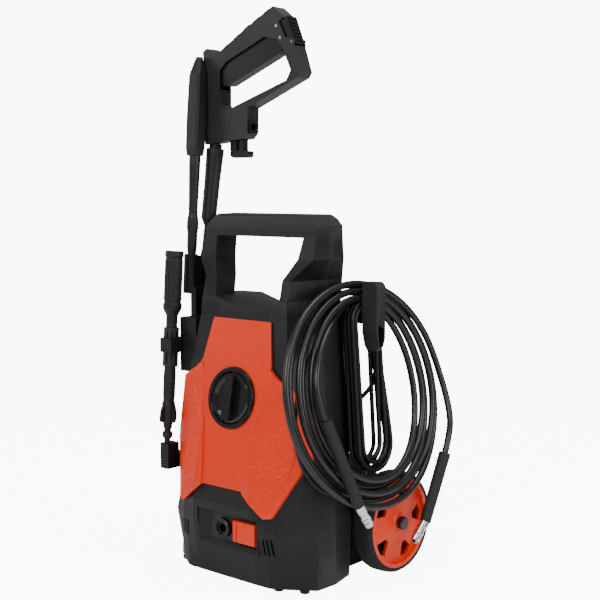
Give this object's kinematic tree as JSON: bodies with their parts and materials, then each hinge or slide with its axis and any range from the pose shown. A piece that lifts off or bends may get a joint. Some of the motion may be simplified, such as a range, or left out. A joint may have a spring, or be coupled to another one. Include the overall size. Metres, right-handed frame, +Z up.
{
  "type": "pressure washer",
  "caption": "Upright electric pressure washer with carry handle, two wheels, coiled high-pressure hose, spray gun and two clipped-on lances.",
  "frame": {"origin": "on the floor, under the middle of the machine's footprint", "axes": "+Z up, the front with the switch faces -Y, the hose hook is on +X and the lances on -X"},
  "size_m": [0.3931, 0.3736, 0.852],
  "materials": {
    "body_black": "fine spark-eroded texture, satin",
    "cover_orange": "moulded-in orange, semi-gloss",
    "knob_black": "polished black",
    "button_orange": "semi-gloss",
    "foot_rubber": "matte",
    "tyre_rubber": "matte hard rubber",
    "hub_orange": "moulded-in orange, semi-gloss",
    "axle_steel": "drawn bar",
    "outlet_brass": "turned, dulled",
    "pump_aluminium": "die cast",
    "motor_paint": "baked enamel",
    "rotor_steel": "laminated core",
    "inner_plastic": "as moulded",
    "pipe_rubber": "smooth",
    "inlet_plastic": "as moulded",
    "hose_black": "smooth, slightly glossy jacket",
    "sleeve_black": "matte",
    "fitting_chrome": "nickel plated",
    "cord_black": "satin jacket",
    "gun_black": "fine texture, satin",
    "trigger_black": "satin",
    "lance_black": "satin",
    "holder_black": "matte",
    "screw_steel": "zinc plated"
  },
  "bodies": {
    "machine": {"front_housing": "body_black", "rear_housing": "body_black", "pump_cover": "body_black", "base_plate": "inner_plastic", "rubber_feet": "foot_rubber", "front_cover": "cover_orange", "handle_front": "body_black", "handle_rear": "body_black", "knob_bezel": "knob_black", "switch_body": "inner_plastic", "outlet_bezel": "body_black", "outlet_socket": "outlet_brass", "wheel_axle": "axle_steel", "axle_caps": "knob_black", "axle_bushes": "inner_plastic", "motor_housing": "motor_paint", "pump_block": "pump_aluminium", "pump_pistons": "axle_steel", "outlet_pipe": "outlet_brass", "inlet_pipe": "pipe_rubber", "water_inlet": "inlet_plastic", "start_capacitor": "inner_plastic", "hose_hook": "body_black", "lance_holder": "holder_black", "lower_lance_pocket": "holder_black", "hose_coil": "hose_black", "hose_sleeve_a": "sleeve_black", "hose_sleeve_b": "sleeve_black", "hose_fitting_a": "fitting_chrome", "hose_fitting_b": "fitting_chrome", "power_cord_hank": "cord_black", "cord_gland": "cord_black", "power_cord_lead": "cord_black", "power_cord_loop": "cord_black", "power_cord_tail": "cord_black", "power_plug": "cord_black", "housing_screws": "screw_steel"},
    "wheel_right": {"tyre_right": "tyre_rubber", "hub_right": "hub_orange"},
    "wheel_left": {"tyre_left": "tyre_rubber", "hub_left": "hub_orange"},
    "knob": {"power_knob": "knob_black"},
    "button": {"release_button": "button_orange"},
    "rotor": {"motor_rotor": "rotor_steel", "cooling_fan": "inner_plastic", "swash_plate": "axle_steel"},
    "gun": {"gun_shell_front": "gun_black", "gun_shell_rear": "gun_black", "gun_pins": "screw_steel", "gun_valve": "outlet_brass", "gun_hose_port": "trigger_black", "gun_lance": "lance_black"},
    "gun_trigger": {"trigger": "trigger_black"},
    "catch": {"gun_catch": "trigger_black"},
    "hose_clip": {"hose_fork_clip": "trigger_black"},
    "vario_lance": {"vario_lance_tube": "lance_black", "vario_lance_hood": "lance_black"},
    "turbo_lance": {"turbo_lance_tube": "lance_black", "turbo_sleeve": "lance_black", "turbo_head": "lance_black"}
  },
  "joints": [
    {"name": "wheel_right_spin", "type": "hinge", "parent": "machine", "child": "wheel_right", "pos_m": [0.154, 0.07, 0.077], "axis": [1, 0, 0], "continuous": true},
    {"name": "wheel_left_spin", "type": "hinge", "parent": "machine", "child": "wheel_left", "pos_m": [-0.154, 0.07, 0.077], "axis": [1, 0, 0], "continuous": true},
    {"name": "knob_turn", "type": "hinge", "parent": "machine", "child": "knob", "pos_m": [0, -0.1204, 0.2746], "axis": [0, -0.9833, 0.1822], "range_deg": [-90, 0]},
    {"name": "release_push", "type": "slide", "parent": "machine", "child": "button", "axis": [-1, 0, 0], "range_m": [0, 0.006], "stiffness_N_per_m": 250, "springref_m": -0.002},
    {"name": "motor_spin", "type": "hinge", "parent": "machine", "child": "rotor", "pos_m": [0, -0.04, 0.2], "axis": [0, 0, 1], "continuous": true},
    {"name": "gun_lift", "type": "slide", "parent": "machine", "child": "gun", "axis": [0.0597, 0.0871, 0.9944], "range_m": [0, 0.035]},
    {"name": "trigger_pull", "type": "hinge", "parent": "gun", "child": "gun_trigger", "pos_m": [0.02, -0.022, 0.805], "axis": [0, 1, 0], "range_deg": [0, 5], "stiffness_Nm_per_rad": 3, "springref_deg": -2.86},
    {"name": "catch_turn", "type": "hinge", "parent": "gun", "child": "catch", "pos_m": [0.0429, -0.022, 0.7975], "axis": [0, 1, 0], "range_deg": [0, 12]},
    {"name": "hose_clip_pull", "type": "slide", "parent": "gun", "child": "hose_clip", "axis": [0, 0, -1], "range_m": [0, 0.008]},
    {"name": "vario_lance_lift", "type": "slide", "parent": "machine", "child": "vario_lance", "axis": [0, 0.0569, 0.9984], "range_m": [0, 0.05]},
    {"name": "turbo_lance_lift", "type": "slide", "parent": "machine", "child": "turbo_lance", "axis": [0, 0.0659, 0.9978], "range_m": [0, 0.04]}
  ]
}
